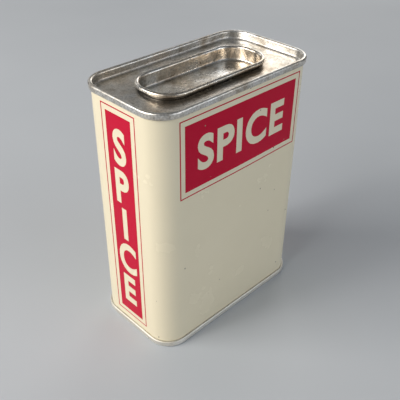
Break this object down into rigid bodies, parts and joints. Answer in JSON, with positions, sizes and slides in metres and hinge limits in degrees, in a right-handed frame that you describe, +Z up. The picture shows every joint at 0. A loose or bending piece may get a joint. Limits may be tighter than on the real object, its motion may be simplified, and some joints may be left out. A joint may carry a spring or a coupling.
{
  "type": "spice tin",
  "caption": "Oblong tinplate spice tin with rounded corners, seamed ends, an enamelled printed wall and a curled plug lid that pulls straight up.",
  "frame": {"origin": "centre of the base, on the surface it stands on", "axes": "+Z up through the lid, +X to the right along the wide front face, -Y out of the front face"},
  "size_m": [0.06, 0.033, 0.0792],
  "materials": {
    "tinplate_wall": "bare tinplate, satin, lightly tarnished",
    "tinplate_ends": "bare tinplate, satin, lightly tarnished and scratched",
    "tinplate_lid": "drawn bare tinplate, satin, faint upright draw marks",
    "solder": "dull soft solder",
    "compound": "matt sealing compound",
    "enamel_cream": "glossy baked enamel, aged cream",
    "print_red": "glossy printed red"
  },
  "bodies": {
    "tin": {"body": "tinplate_wall", "side_seam_solder": "solder", "top_end": "tinplate_ends", "bottom_end": "tinplate_ends", "top_seam_compound": "compound", "bottom_seam_compound": "compound", "enamel_coat": "enamel_cream", "front_label": "print_red", "back_label": "print_red", "left_label": "print_red", "right_label": "print_red"},
    "lid": {"plug_lid": "tinplate_lid"}
  },
  "joints": [
    {"name": "lid_lift", "type": "slide", "parent": "tin", "child": "lid", "axis": [0, 0, 1], "range_m": [0, 0.03]}
  ]
}
